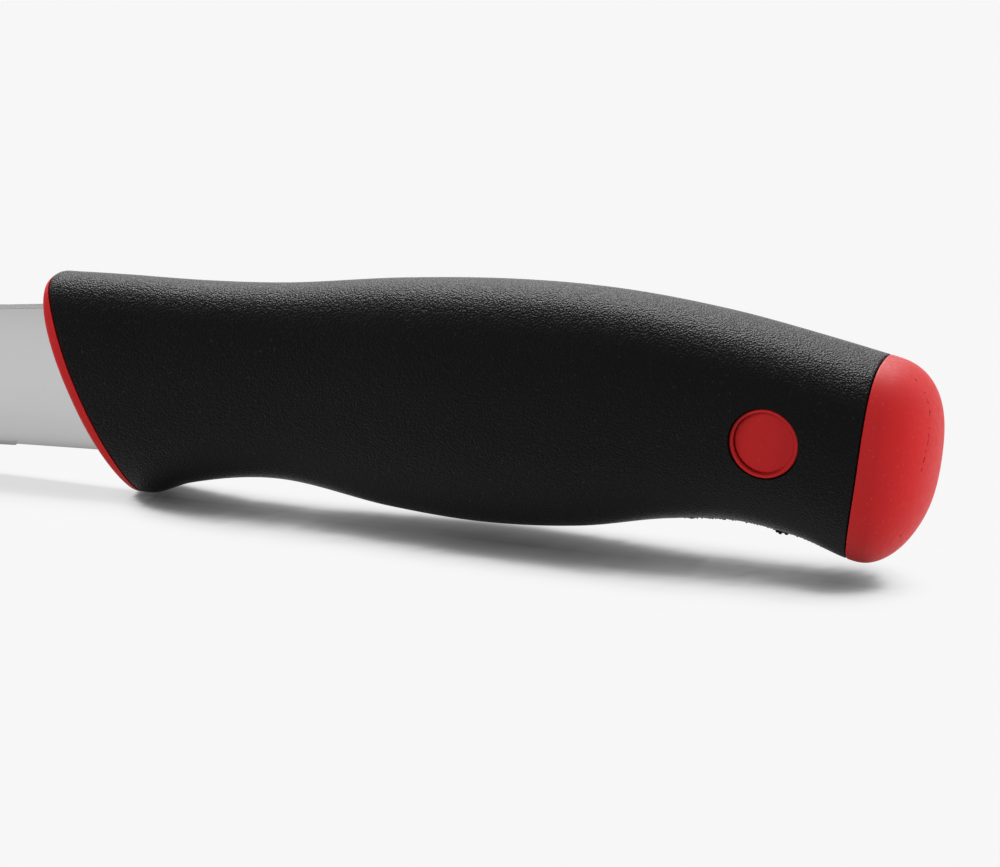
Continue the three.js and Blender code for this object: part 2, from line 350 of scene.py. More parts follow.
def makeBrushLines():  # fine grinding scratches along X
    tree, given, result = newTree(
        "brushLines", "ShaderNodeTree",
        {"linesPerMetre": "Float", "stretch": "Float"},
        {"lines": "Float", "streaks": "Float"},
    )
    place = addNode(tree, "ShaderNodeTexCoord").outputs["Object"]
    lengthwise = calc(tree, "DIVIDE", 1.0, given["stretch"])
    squeeze = addNode(tree, "ShaderNodeCombineXYZ", {"X": lengthwise, "Y": 1.0, "Z": 1.0}).outputs[0]
    drawn = addNode(tree, "ShaderNodeVectorMath", {0: place, 1: squeeze}, operation="MULTIPLY").outputs[0]
    fine = given["linesPerMetre"]
    broad = calc(tree, "MULTIPLY", fine, effects["streaksToLines"])
    lines = addNode(tree, "ShaderNodeTexNoise", {"Vector": drawn, "Scale": fine, "Detail": 4.0})
    streaks = addNode(tree, "ShaderNodeTexNoise", {"Vector": drawn, "Scale": broad, "Detail": 2.0})
    tree.links.new(lines.outputs[0], result.inputs["lines"])
    tree.links.new(streaks.outputs[0], result.inputs["streaks"])
    return tree


def makeToneDrift():  # slow change between two tones, with sparse dust
    tree, given, result = newTree(
        "toneDrift", "ShaderNodeTree",
        {"firstTone": "Color", "secondTone": "Color", "patchesPerMetre": "Float",
         "dustTone": "Color", "dust": "Float"},
        {"tone": "Color"},
    )
    place = addNode(tree, "ShaderNodeTexCoord").outputs["Object"]
    patches = {"Vector": place, "Scale": given["patchesPerMetre"], "Detail": 4.0}
    drift = addNode(tree, "ShaderNodeTexNoise", patches).outputs[0]
    dots = {"Vector": place, "Scale": effects["specksPerMetre"], "Detail": 2.0}
    specks = addNode(tree, "ShaderNodeTexNoise", dots).outputs[0]
    low, high = effects["speckLevels"]
    sparse = addNode(tree, "ShaderNodeMapRange", {
        "Value": specks, "From Min": low, "From Max": high, "To Max": given["dust"]}).outputs[0]
    tone = mixed(tree, drift, given["firstTone"], given["secondTone"])
    tree.links.new(mixed(tree, sparse, tone, given["dustTone"]), result.inputs["tone"])
    return tree


mouldGrain = makeMouldGrain()
brushLines = makeBrushLines()
toneDrift = makeToneDrift()


# finishes

def newFinish(name, constants):
    finish = bpy.data.materials.new(name)
    finish.use_nodes = True
    shader = finish.node_tree.nodes["Principled BSDF"]
    for key, value in constants.items():
        shader.inputs[key].default_value = value
    return finish, finish.node_tree, shader


def useGroup(tree, group, values):
    return addNode(tree, "ShaderNodeGroup", values, node_tree=group).outputs


def setTone(tree, shader, tones):
    tree.links.new(useGroup(tree, toneDrift, tones)["tone"], shader.inputs["Base Color"])


def setRoughness(tree, shader, value, between):
    ranged = addNode(tree, "ShaderNodeMapRange", {"Value": value, "To Min": between[0], "To Max": between[1]})
    tree.links.new(ranged.outputs[0], shader.inputs["Roughness"])


def setBump(tree, shader, height, depth):
    bump = addNode(tree, "ShaderNodeBump", {"Height": height, "Distance": depth})
    tree.links.new(bump.outputs[0], shader.inputs["Normal"])


softBlackLook = {
    "constants": {"Specular IOR Level": 0.2, "Specular Tint": (0.15, 0.15, 0.15, 1)},
    "tones": {
        "firstTone": (0.0064, 0.0064, 0.0065, 1), "secondTone": (0.0078, 0.0078, 0.0079, 1),
        "patchesPerMetre": 60.0, "dustTone": (0.03, 0.03, 0.03, 1), "dust": 0.5,
    },
    "grain": {"grainsPerMetre": 4000.0, "softness": 0.2, "fineShare": 0.9},
    "roughness": (0.28, 0.48),
    "depth": 0.0001,
}
redLook = {
    "constants": {"Specular IOR Level": 0.35, "Specular Tint": (0.4, 0.4, 0.4, 1)},
    "tones": {
        "firstTone": (0.43, 0.015, 0.016, 1), "secondTone": (0.46, 0.018, 0.019, 1),
        "patchesPerMetre": 90.0, "dustTone": (0.6, 0.1, 0.1, 1), "dust": 0.25,
    },
    "grain": {"grainsPerMetre": 1500.0, "softness": 0.9, "fineShare": 0.6},
    "roughness": (0.46, 0.6),
    "depth": 0.000012,
}
# darker red of the parting marks: painted shade, standing for the shade in the line's small pits
partingShadeLook = {
    **redLook,
    "tones": {
        "firstTone": (0.2, 0.006, 0.007, 1), "secondTone": (0.28, 0.009, 0.01, 1),
        "patchesPerMetre": 400.0, "dustTone": (0.12, 0.004, 0.004, 1), "dust": 0.5,
    },
}
coreLook = {
    "constants": {"Specular IOR Level": 0.3},
    "tones": {
        "firstTone": (0.4, 0.009, 0.0095, 1), "secondTone": (0.46, 0.012, 0.013, 1),
        "patchesPerMetre": 70.0, "dustTone": (0.5, 0.08, 0.08, 1), "dust": 0.2,
    },
    "grain": {"grainsPerMetre": 1200.0, "softness": 0.8, "fineShare": 0.8},
    "roughness": (0.5, 0.68),
    "depth": 0.00003,
}
bladeLook = {
    "constants": {"Metallic": 1.0},
    "tones": {
        "firstTone": (0.54, 0.54, 0.538, 1), "secondTone": (0.57, 0.57, 0.568, 1),
        "patchesPerMetre": 50.0, "dustTone": (0.5, 0.5, 0.5, 1), "dust": 0.3,
    },
    "lines": {"linesPerMetre": 9000.0, "stretch": 60.0},
    "roughness": (0.16, 0.26),
    "depth": 0.000004,
    "rise": [  # painted shade: the steel is darker towards the edge, and a little towards the back
        (0.0, 0.5), (0.015, 0.64), (0.03, 0.72), (0.05, 0.8), (0.08, 0.87), (0.167, 0.93), (0.35, 1.0),
        (0.75, 1.0), (0.92, 0.93), (1.0, 0.87),
    ],
    # the back's roughness is its own; its dark tone is painted shade that keeps it from showing a bright line
    "spine": {"Base Color": (0.09, 0.09, 0.09, 1), "Roughness": 0.55},
}
pinLook = {
    "constants": {"Metallic": 1.0},
    "tones": {
        "firstTone": (0.46, 0.46, 0.47, 1), "secondTone": (0.52, 0.52, 0.52, 1),
        "patchesPerMetre": 120.0, "dustTone": (0.4, 0.4, 0.4, 1), "dust": 0.3,
    },
    "lines": {"linesPerMetre": 5000.0, "stretch": 12.0},
    "roughness": (0.3, 0.5),
    "depth": 0.000004,
}


def mouldedFinish(name, look):
    finish, tree, shader = newFinish(name, look["constants"])
    setTone(tree, shader, look["tones"])
    grain = useGroup(tree, mouldGrain, look["grain"])
    setRoughness(tree, shader, grain["pits"], look["roughness"])
    setBump(tree, shader, grain["height"], look["depth"])
    return finish


def groundFinish(name, look):
    finish, tree, shader = newFinish(name, look["constants"])
    setTone(tree, shader, look["tones"])
    scratches = useGroup(tree, brushLines, look["lines"])
    setRoughness(tree, shader, scratches["streaks"], look["roughness"])
    setBump(tree, shader, scratches["lines"], look["depth"])
    return finish


def paintBladeShade(finish, levels):  # painted shade on the steel, by height over the edge
    tree = finish.node_tree
    tone = tree.nodes["Principled BSDF"].inputs["Base Color"]
    rise = addNode(tree, "ShaderNodeAttribute", attribute_name="rise").outputs["Fac"]
    level = shaped(tree, rise, levels)
    tree.links.new(mixed(tree, 1.0, tone.links[0].from_socket, level, blend="MULTIPLY"), tone)


def roughenAndShadeSpine(finish, look):  # the sheared back of the blade isn't ground: it is rougher, and its dark tone is painted shade that keeps it from showing a bright line
    tree = finish.node_tree
    inputs = tree.nodes["Principled BSDF"].inputs
    onSpine = addNode(tree, "ShaderNodeAttribute", attribute_name="spine").outputs["Fac"]
    for label, kind in (("Base Color", "RGBA"), ("Roughness", "FLOAT")):
        ground = inputs[label].links[0].from_socket
        tree.links.new(mixed(tree, onSpine, ground, look[label], kind), inputs[label])


softBlack = mouldedFinish("softBlack", softBlackLook)
redPlastic = mouldedFinish("redPlastic", redLook)
partingShadeRed = mouldedFinish("partingShadeRed", partingShadeLook)
corePlastic = mouldedFinish("corePlastic", coreLook)
bladeSteel = groundFinish("bladeSteel", bladeLook)
paintBladeShade(bladeSteel, bladeLook["rise"])
roughenAndShadeSpine(bladeSteel, bladeLook["spine"])
pinSteel = groundFinish("pinSteel", pinLook)
print("finishes made:", len(bpy.data.materials))


# skin of the handle: superellipse sections that lean like the slanted edges

skinCurves = {"samples": 200, "reach": 115.0, "tallest": 40.0}


def lineCurve(tree, pairs, x):  # one of the handle's lines as a float curve
    reach, tallest = skinCurves["reach"], skinCurves["tallest"]
    sampled = [(share, lineAt(pairs, share * reach) / tallest) for share in steps(skinCurves["samples"])]
    return calc(tree, "MULTIPLY", shaped(tree, calc(tree, "DIVIDE", x, reach), sampled), tallest)


def makeSkinTree():
    sizes = ("squareness", "edgeHeight", "frontSetback", "frontBow", "capFoot", "capLean", "capBow",
             "rimWidth", "rimLeast", "rimTaper")
    inputs = {"Geometry": "Geometry", "ringPoints": "Int", "leanPasses": "Int"}
    inputs.update({size: "Float" for size in sizes})
    inputs.update({"shift": "Vector", "finish": "Material"})
    tree, given, result = newTree("handleSkin", "GeometryNodeTree", inputs, {"Geometry": "Geometry"})

    def num(operation, first, second=0.0):
        return calc(tree, operation, first, second)

    # a grid with one row for each ring of the profile
    rings = addNode(tree, "GeometryNodeAttributeDomainSize", {"Geometry": given["Geometry"]})
    columns = num("ADD", given["ringPoints"], 1.0)
    grid = addNode(tree, "GeometryNodeMeshGrid", {
        "Vertices X": rings.outputs["Point Count"], "Vertices Y": columns})
    index = addNode(tree, "GeometryNodeInputIndex").outputs[0]
    row = num("FLOOR", num("DIVIDE", index, columns))
    column = num("SUBTRACT", index, num("MULTIPLY", row, columns))

    def fromRing(label):
        return addNode(tree, "GeometryNodeSampleIndex", {
            "Geometry": given["Geometry"], "Value": named(tree, label), "Index": row}).outputs["Value"]

    mix, offset, inset = fromRing("mix"), fromRing("offset"), fromRing("inset")
    rim, taper = fromRing("rim"), fromRing("taper")
    plan, side = fromRing("plan"), fromRing("side")

    # superellipse round the section
    turn = num("MULTIPLY", num("DIVIDE", column, given["ringPoints"]), 2 * math.pi)
    power = num("DIVIDE", 2.0, given["squareness"])

    def squared(wave):
        return num("MULTIPLY", num("SIGN", wave), num("POWER", num("ABSOLUTE", wave), power))

    across = squared(num("COSINE", turn))
    upward = squared(num("SINE", turn))
    taperOff = num("SUBTRACT", 1.0, num("POWER", num("ABSOLUTE", upward), given["rimTaper"]))
    rimSpan = num("SUBTRACT", given["rimWidth"], given["rimLeast"])
    rimAt = num("ADD", given["rimLeast"], num("MULTIPLY", rimSpan, taperOff))
    ahead = num("ADD", offset, num("MULTIPLY", rim, rimAt))

    def placeAt(height):
        share = num("DIVIDE", height, given["edgeHeight"])
        rest = num("SUBTRACT", 1.0, share)
        bow = num("MULTIPLY", 4.0, num("MULTIPLY", share, rest))
        front = num("MULTIPLY", given["frontSetback"], rest)
        front = num("SUBTRACT", front, num("MULTIPLY", given["frontBow"], bow))
        cap = num("ADD", given["capFoot"], num("MULTIPLY", given["capLean"], share))
        cap = num("ADD", cap, num("MULTIPLY", given["capBow"], bow))
        between = num("ADD", front, num("MULTIPLY", num("SUBTRACT", cap, front), mix))
        tapered = num("MULTIPLY", taper, num("SUBTRACT", 0.5, share))
        return num("ADD", num("ADD", between, tapered), ahead)

    # X depends on Z and Z on X, so a few passes settle both
    zoneStart = addNode(tree, "GeometryNodeRepeatInput")
    zoneEnd = addNode(tree, "GeometryNodeRepeatOutput")
    zoneStart.pair_with_output(zoneEnd)
    zoneEnd.repeat_items.clear()
    zoneEnd.repeat_items.new("FLOAT", "height")
    tree.links.new(given["leanPasses"], zoneStart.inputs["Iterations"])
    tree.links.new(num("MULTIPLY", given["edgeHeight"], 0.5), zoneStart.inputs["height"])
    x = placeAt(zoneStart.outputs["height"])
    top = lineCurve(tree, handle["top"], x)
    bottom = lineCurve(tree, handle["bottom"], x)
    middle = num("MULTIPLY", num("ADD", top, bottom), 0.5)
    rise = num("SUBTRACT", num("MULTIPLY", num("SUBTRACT", top, bottom), 0.5), inset)
    lifted = num("MULTIPLY", num("MULTIPLY", upward, side), rise)
    tree.links.new(num("ADD", middle, lifted), zoneEnd.inputs["height"])

    height = zoneEnd.outputs["height"]
    x = placeAt(height)
    half = num("SUBTRACT", lineCurve(tree, handle["half"], x), inset)
    y = num("MULTIPLY", num("MULTIPLY", across, plan), half)
    corner = addNode(tree, "ShaderNodeCombineXYZ", {"X": x, "Y": y, "Z": height}).outputs[0]
    inMetres = addNode(tree, "ShaderNodeVectorMath", {
        0: corner, 1: (mm, mm, mm), 2: given["shift"]}, operation="MULTIPLY_ADD").outputs[0]
    placed = addNode(tree, "GeometryNodeSetPosition", {
        "Geometry": grid.outputs["Mesh"], "Position": inMetres}).outputs[0]
    welded = addNode(tree, "GeometryNodeMergeByDistance", {"Geometry": placed, "Distance": 1e-6}).outputs[0]
    endTree(tree, welded, given["finish"], result)
    return tree


skinTree = makeSkinTree()


def ring(mix=0.0, offset=0.0, inset=0.0, rim=0.0, taper=0.0, plan=1.0, side=1.0):
    return dict(mix=mix, offset=offset, inset=inset, rim=rim, taper=taper, plan=plan, side=side)


def skinPiece(name, rings, finish):
    profile = meshOf(name + "Profile", [(0, 0, k) for k in range(len(rings))],
                     edges=[(k, k + 1) for k in range(len(rings) - 1)])
    for label in rings[0]:
        writeValues(profile, label, [one[label] for one in rings])
    piece = grow(name, profile, skinTree, {**skin, "shift": handleShift, "finish": finish})
    cleanMesh(piece.data)
    smoothMesh(piece.data)
    return piece


# grip: outside, rounded lips and inside in one closed profile

grip = {"lip": 0.2, "lipSteps": 4, "rings": 170, "insideRings": 30}


def gripRings():
    seam, wall, lip = handle["seam"], handle["wall"], grip["lip"]
    frontLip = [ring(offset=seam + lip * (1 - math.cos(a)), inset=lip * (1 - math.sin(a)), rim=1.0)
                for a in quarter(grip["lipSteps"])]
    backLip = [ring(mix=1.0, offset=-seam - lip * (1 - math.cos(a)), inset=lip * (1 - math.sin(a)))
               for a in reversed(quarter(grip["lipSteps"]))]
    outside = [ring(mix=share, offset=(seam + lip) * (1 - 2 * share), rim=1 - share)
               for share in steps(grip["rings"])[1:-1]]
    inside = [ring(mix=share, offset=seam * (1 - 2 * share), rim=1 - share, inset=wall)
              for share in reversed(steps(grip["insideRings"]))]
    return frontLip + outside + backLip + inside + frontLip[:1]


gripPiece = skinPiece("grip_skin", gripRings(), softBlack)
print("grip:", len(gripPiece.data.polygons), "faces")


# front collar: thin rim round the slanted front, plug inside the grip

collar = {"round": 0.8, "roundSteps": 8, "plug": 6.0, "faceSteps": (0.0, 0.4, 0.75, 0.92)}


def collarRings():
    radius, rimWidth = collar["round"], skin["rimWidth"]
    plugInset = handle["wall"] + handle["fit"]
    plugEnd = rimWidth + collar["plug"]
    face = [ring(inset=radius, plan=share) for share in collar["faceSteps"]]
    rounded = [ring(rim=radius / rimWidth * (1 - math.cos(a)), inset=radius * (1 - math.sin(a)))
               for a in quarter(collar["roundSteps"])]
    plug = [ring(rim=1.0), ring(rim=1.0, inset=plugInset), ring(offset=plugEnd, inset=plugInset),
            ring(offset=plugEnd, inset=plugInset, plan=0.0)]
    return face + rounded + plug


collarPiece = skinPiece("collar_rim", collarRings(), redPlastic)
print("collar:", len(collarPiece.data.polygons), "faces")


# butt cap: spigot inside the core and domed end

cap = {
    "length": 7.6,
    "taper": 0.5,
    "crease": 0.29,  # share of the length where the side turns into the dome
    "creaseHardness": 200,
    "roundPlan": 2.2,
    "roundSide": 2.9,
    "spigotWall": 5.6,
    "spigotLength": 7.0,
    "edge": 0.12,
    "edgeSteps": 3,
    "domeRings": 140,
}


def superCircle(along, power):
    return max(0.0, 1 - along ** power) ** (1 / power)


def capRings():
    spigot, edge = cap["spigotWall"], cap["edge"]
    rings = [ring(mix=1.0, offset=-cap["spigotLength"], inset=spigot, plan=0.0),
             ring(mix=1.0, offset=-cap["spigotLength"], inset=spigot),
             ring(mix=1.0, inset=spigot)]
    rings += [ring(mix=1.0, offset=edge * (1 - math.cos(a)), inset=edge * (1 - math.sin(a)))
              for a in quarter(cap["edgeSteps"])]
    hardness = cap["creaseHardness"]
    for a in quarter(cap["domeRings"])[1:]:
        along = math.sin(a) ** (2 / cap["roundSide"])
        side = superCircle(along, cap["roundSide"])
        dome = superCircle(along, cap["roundPlan"]) / superCircle(cap["crease"], cap["roundPlan"])
        plan = dome / (1 + dome ** hardness) ** (1 / hardness)  # the lesser of dome and 1
        rings.append(ring(mix=1.0, offset=cap["length"] * along, taper=cap["taper"] * along,
                          plan=plan, side=side))
    return rings


capPiece = skinPiece("butt_dome", capRings(), redPlastic)
print("cap:", len(capPiece.data.polygons), "faces")


# badge: bare round plug with a raised rim, in a window of the grip

badge = {
    "fromCap": 8.3,
    "height": 18.35,
    "radius": 4.15,
    "rim": 0.35,
    "floor": 0.5,
    "groove": (0.28, 0.5),  # width and depth of the dark line beside the floor
    "grooveSide": math.radians(215),  # deepest at the lower front
    "grooveEnd": 0.2,  # how far it runs past a quarter turn to either side
    "grooveCorners": (0.1, 1.1),  # shares of its depth between which a corner belongs to it
    "floorRing": 0.6,
    "sink": 0.1,
    "pocket": 1.0,
    "edge": 0.1,
    "edgeSteps": 4,
    "points": 128,
}


def badgePlaceOf():
    along = skin["capFoot"] - badge["fromCap"]
    upper = sideAt(along, badge["height"] + badge["radius"])
    lower = sideAt(along, badge["height"] - badge["radius"])
    tilt = math.atan2(lower - upper, 2 * badge["radius"])
    middle = Matrix.Translation((along, -(upper + lower) / 2, badge["height"]))
    return handlePlace @ middle @ Matrix.Rotation(math.pi / 2 - tilt, 4, "X")


badgePlace = badgePlaceOf()
badgeDepth = handle["wall"] + handle["fit"] + badge["pocket"]


def badgeProfile():
    radius, inner, edge = badge["radius"], badge["radius"] - badge["rim"], badge["edge"]
    face, back = -badge["sink"], handle["fit"] - badgeDepth
    floor = face - badge["floor"]
    angles = quarter(badge["edgeSteps"])
    outerEdge = [(radius - edge * (1 - math.cos(a)), face - edge * (1 - math.sin(a))) for a in angles]
    innerEdge = [(inner + edge * (1 - math.sin(a)), face - edge * (1 - math.cos(a))) for a in angles]
    wide, deep = badge["groove"]
    groove = [(inner, floor - deep), (inner - wide + edge, floor - deep)]
    brink = [(inner - wide - edge * math.sin(a) + edge, floor - edge * (1 - math.sin(a))) for a in angles]
    middle = [(inner * badge["floorRing"], floor), (0, floor)]
    return [(0, back), (radius, back)] + outerEdge + innerEdge + groove + brink + middle


def fadeGroove(mesh):  # runs out towards the upper back
    inside = badgePlace.inverted()
    floor, deep = -badge["sink"] - badge["floor"], badge["groove"][1]
    upper, lower = badge["grooveCorners"]
    for corner in mesh.vertices:
        place = inside @ corner.co
        if floor - lower * deep < place.z < floor - upper * deep:
            turn = math.atan2(place.y, place.x) - badge["grooveSide"]
            place.z = floor - deep * min(max(badge["grooveEnd"] + math.cos(turn), 0.0), 1.0)
            corner.co = badgePlace @ place


windowRadius = badge["radius"] + handle["seam"]
carve(gripPiece, roundCutter("window", windowRadius, badgeDepth, badge["points"], badgePlace))
smoothMesh(gripPiece.data)
badgePiece = lathe("badge_plug", badgeProfile(), badge["points"], badgePlace)
fadeGroove(badgePiece.data)
badgePiece.data.materials.append(redPlastic)
smoothMesh(badgePiece.data)
print("badge set in the grip")


# blade: flat-ground sections from the point to the shoulder, and the hidden tang

def bladeSection(placeOf, spine, edge, edgeWidth, room=0.0):
    tall = spine - edge
    bevel = min(blade["bevelHeight"], tall / 2)
    slope = (blade["stock"] - blade["bevelThickness"]) / 2 / (blade["height"] - blade["bevelHeight"])
    shoulder = blade["bevelThickness"] / 2 + room
    radius = min(blade["spineRound"], tall * blade["roundShare"])
    back = shoulder + slope * (tall - radius - bevel)
    right = [(edgeWidth / 2 + room, edge - room), (shoulder, edge + bevel)]
    for a in quarter(blade["roundSteps"]):
        right.append((back - radius * (1 - math.cos(a)), spine + room - radius * (1 - math.sin(a))))
    left = [(-y, z) for y, z in reversed(right)]
    return [Vector((placeOf(z), y, z)) for y, z in right + left]


def spineAt(reach):
    pointTop = blade["pointHeight"] + blade["pointBlunt"] / 2
    fall = blade["height"] - blade["spineTaper"] * blade["length"] - pointTop
    bend = max(0, reach - blade["spineStraight"]) / (blade["length"] - blade["spineStraight"])
    return blade["height"] - blade["spineTaper"] * reach - fall * bend ** 2


def edgeAt(reach):
    bend = max(0, reach - blade["edgeStraight"]) / (blade["length"] - blade["edgeStraight"])
    return (blade["pointHeight"] - blade["pointBlunt"] / 2) * bend ** 2


def ricassoSection(edge, room=0.0):
    start = blade["ricasso"]
    return bladeSection(lambda z: -start, spineAt(start), edge, blade["bevelThickness"], room)


def shoulderSection(depth, room=0.0):
    lean = skin["frontSetback"] / skin["edgeHeight"]
    return bladeSection(lambda z: depth - lean * z, blade["height"], 0, blade["bevelThickness"], room)


def bladeLoft(name, rings):
    count = len(rings[0])
    last = (len(rings) - 1) * count
    faces = []
    for start in range(0, last, count):
        for j in range(count):
            following = (j + 1) % count
            faces.append((start + j, start + following, start + count + following, start + count + j))
    for start in (0, last):  # ends closed straight across
        for j in range(count // 2 - 1):
            faces.append((start + j, start + j + 1, start + count - 2 - j, start + count - 1 - j))
    mesh = meshOf(name, [bladePlace @ corner for one in rings for corner in one], faces)
    cleanMesh(mesh)
    return newPiece(name, mesh)


def bladeRings():
    nose = blade["pointBlunt"] / 2
    straight = blade["length"] - nose
    rings = []
    for a in reversed(quarter(blade["noseSteps"])):  # rounded point
        reach = straight + nose * math.sin(a)
        middle, half = (spineAt(reach) + edgeAt(reach)) / 2, (spineAt(reach) - edgeAt(reach)) / 2
        half *= max(math.cos(a), blade["noseLeast"])
        rings.append((reach, middle + half, middle - half))
    span = blade["spineStraight"] - straight
    for share in steps(blade["pointSteps"])[1:]:
        reach = straight + span * share
        rings.append((reach, spineAt(reach), edgeAt(reach)))
    runout = blade["ricasso"] + blade["runout"]
    rings.append((runout, spineAt(runout), 0))
    sharp = [bladeSection(lambda z, reach=reach: -reach, spine, edge, blade["edgeThickness"])
             for reach, spine, edge in rings]
    return sharp + [ricassoSection(blade["ricassoRelief"]), shoulderSection(blade["shoulderDepth"])]


def tangBlock(name, room=0.0):
    base, front, rear = blade["tangBase"], blade["tangFront"], blade["tangRear"]
    middle, radius = base + front / 2, rear / 2 + room
    lean = skin["frontSetback"] / skin["edgeHeight"]
    start = blade["shoulderDepth"] - blade["tangLap"] - room
    low, high = base - room, base + front + room
    outline = [(start - lean * low, low)]
    for share in steps(blade["tangEndSteps"]):
        a = math.pi * (share - 0.5)
        outline.append((blade["tangLength"] - rear / 2 + radius * math.cos(a), middle + radius * math.sin(a)))
    outline.append((start - lean * high, high))
    half, count = blade["stock"] / 2 + room, len(outline)
    corners = [bladePlace @ Vector((x, y, z)) for y in (-half, half) for x, z in outline]
    faces = [tuple(range(count)), tuple(reversed(range(count, 2 * count)))]
    for k in range(count):
        following = (k + 1) % count
        faces.append((k, k + count, following + count, following))
    mesh = meshOf(name, corners, faces)
    cleanMesh(mesh)
    return newPiece(name, mesh)


def pinHole(along):
    place = bladePlace @ Matrix.Translation((along, 0, pinMiddle.z)) @ Matrix.Rotation(math.pi / 2, 4, "X")
    radius = blade["pinRadius"] + handle["fit"]
    return roundCutter("pinHole", radius, blade["stock"], blade["pinPoints"], place)


def markBlade(mesh):  # where the grind ends at the back, and how high a point is over the edge
    low, high = blade["spineFacing"]
    facing = [math.hypot(face.normal.x, face.normal.z) if face.normal.z > blade["spineUpward"] else 0.0
              for face in mesh.polygons]
    onSpine = [min(max((share - low) / (high - low), 0.0), 1.0) for share in facing]
    writeValues(mesh, "spine", onSpine, "FACE")
    inside = bladePlace.inverted()
    places = [inside @ corner.co for corner in mesh.vertices]
    rise = [(place.z - edgeAt(-place.x)) / blade["height"] for place in places]
    writeValues(mesh, "rise", rise)


def bladeSlot():
    room = blade["slotGap"]
    shoulder = shoulderSection(blade["shoulderDepth"] + room, room)
    return bladeLoft("bladeSlot", [ricassoSection(0, room), shoulder])


bladePiece = bladeLoft("blade_ground", bladeRings())
carve(bladePiece, tangBlock("tang"), "UNION")
for along in blade["pins"]:
    carve(bladePiece, pinHole(along))
bladePiece.data.materials.append(bladeSteel)
markBlade(bladePiece.data)
smoothMesh(bladePiece.data, blade["sharpAngle"])
carve(collarPiece, bladeSlot())
carve(collarPiece, tangBlock("tangSlot", handle["fit"]))
smoothMesh(collarPiece.data)
print("blade:", len(bladePiece.data.polygons), "faces")


# marks of the mould: nibs of flash under the grip, a broken parting line down the cap

def makeMarkTree():
    tree, given, result = newTree(
        "mouldMarks", "GeometryNodeTree",
        {"Geometry": "Geometry", "size": "Vector", "vary": "Float", "seed": "Int", "finish": "Material"},
        {"Geometry": "Geometry"},
    )

    out, along, bulk = (named(tree, label, "FLOAT_VECTOR") for label in ("out", "along", "bulk"))

    def blend(operation, first, second):
        key = "Scale" if operation == "SCALE" else 1
        return addNode(tree, "ShaderNodeVectorMath", {0: first, key: second}, operation=operation).outputs[0]

    ball = addNode(tree, "GeometryNodeMeshUVSphere", {"Segments": 8, "Rings": 6, "Radius": 1.0})
    lump = addNode(tree, "GeometryNodeSetShadeSmooth", {"Geometry": ball.outputs["Mesh"]}).outputs[0]
    upright = addNode(tree, "FunctionNodeAlignRotationToVector", {"Vector": out}, axis="Z").outputs[0]
    turned = addNode(tree, "FunctionNodeAlignRotationToVector", {
        "Rotation": upright, "Vector": along}, axis="X", pivot_axis="Z").outputs[0]
    swing = addNode(tree, "FunctionNodeRandomValue", {
        0: (-1, -1, -1), 1: (1, 1, 1), "Seed": given["seed"]}, data_type="FLOAT_VECTOR").outputs[0]
    uneven = blend("ADD", blend("SCALE", swing, given["vary"]), (1, 1, 1))
    scaled = blend("MULTIPLY", blend("MULTIPLY", uneven, given["size"]), bulk)
    chosen = addNode(tree, "FunctionNodeRandomValue", {
        "Probability": named(tree, "kept"), "Seed": given["seed"]}, data_type="BOOLEAN").outputs[3]
    marks = addNode(tree, "GeometryNodeInstanceOnPoints", {
        "Points": given["Geometry"], "Selection": chosen, "Instance": lump,
        "Rotation": turned, "Scale": scaled}).outputs[0]
    endTree(tree, marks, given["finish"], result)
    return tree


markTree = makeMarkTree()


def markPiece(name, path, settings, finish):  # path: place, outward direction, bulk and odds of each mark
    places = [handlePlace @ one[0] for one in path]
    mesh = meshOf(name + "Path", places)
    following = places[1:] + places[-1:]
    leading = places[:1] + places[:-1]
    along = [(after - before).normalized() for before, after in zip(leading, following)]
    layers = {"out": [one[1] for one in path], "along": along, "bulk": [one[2] for one in path]}
    for label, vectors in layers.items():
        layer = mesh.attributes.new(label, "FLOAT_VECTOR", "POINT")
        layer.data.foreach_set("vector", [part for vector in vectors for part in vector])
    writeValues(mesh, "kept", [one[3] for one in path])
    size = tuple(part * mm for part in settings["size"])
    values = {"size": size, "vary": settings["vary"], "seed": settings["seed"], "finish": finish}
    return grow(name, mesh, markTree, values)


flash = {
    "from": 82.0,
    "to": 99.0,
    "marks": 90,
    "offMiddle": 0.38,  # share of the half width, on the near side
    "tab": (93.2, 94.5),
    "tabBulk": (2.0, 2.4, 3.4),
    "size": (0.16, 0.1, 0.09),
    "vary": 0.6,
    "kept": 0.55,
    "seed": 7,
}


def flashPath():
    power, off = skin["squareness"], flash["offMiddle"]
    drop = (1 - off ** power) ** (1 / power)
    path = []
    for share in steps(flash["marks"]):
        x = flash["from"] + (flash["to"] - flash["from"]) * share
        top, bottom, half = (lineAt(handle[line], x) for line in ("top", "bottom", "half"))
        rise = (top - bottom) / 2
        place = Vector((x, -off * half, (top + bottom) / 2 - drop * rise))
        out = Vector((0, -off ** (power - 1) / half, -drop ** (power - 1) / rise)).normalized()
        inTab = flash["tab"][0] <= x <= flash["tab"][1]
        path.append((place, out, flash["tabBulk"], 1.0) if inTab else (place, out, (1, 1, 1), flash["kept"]))
    return path


parting = {
    "offMiddle": [(4, 5.5), (16, 5.2), (25, 0.8)],  # at each height, on the near side
    "heights": ((25.9, 15.6), (7.5, 6.9)),
    "spacing": 0.32,
    "size": (0.2, 0.075, 0.04),
    "vary": 0.5,
    "kept": 0.52,
    "seed": 4,
}


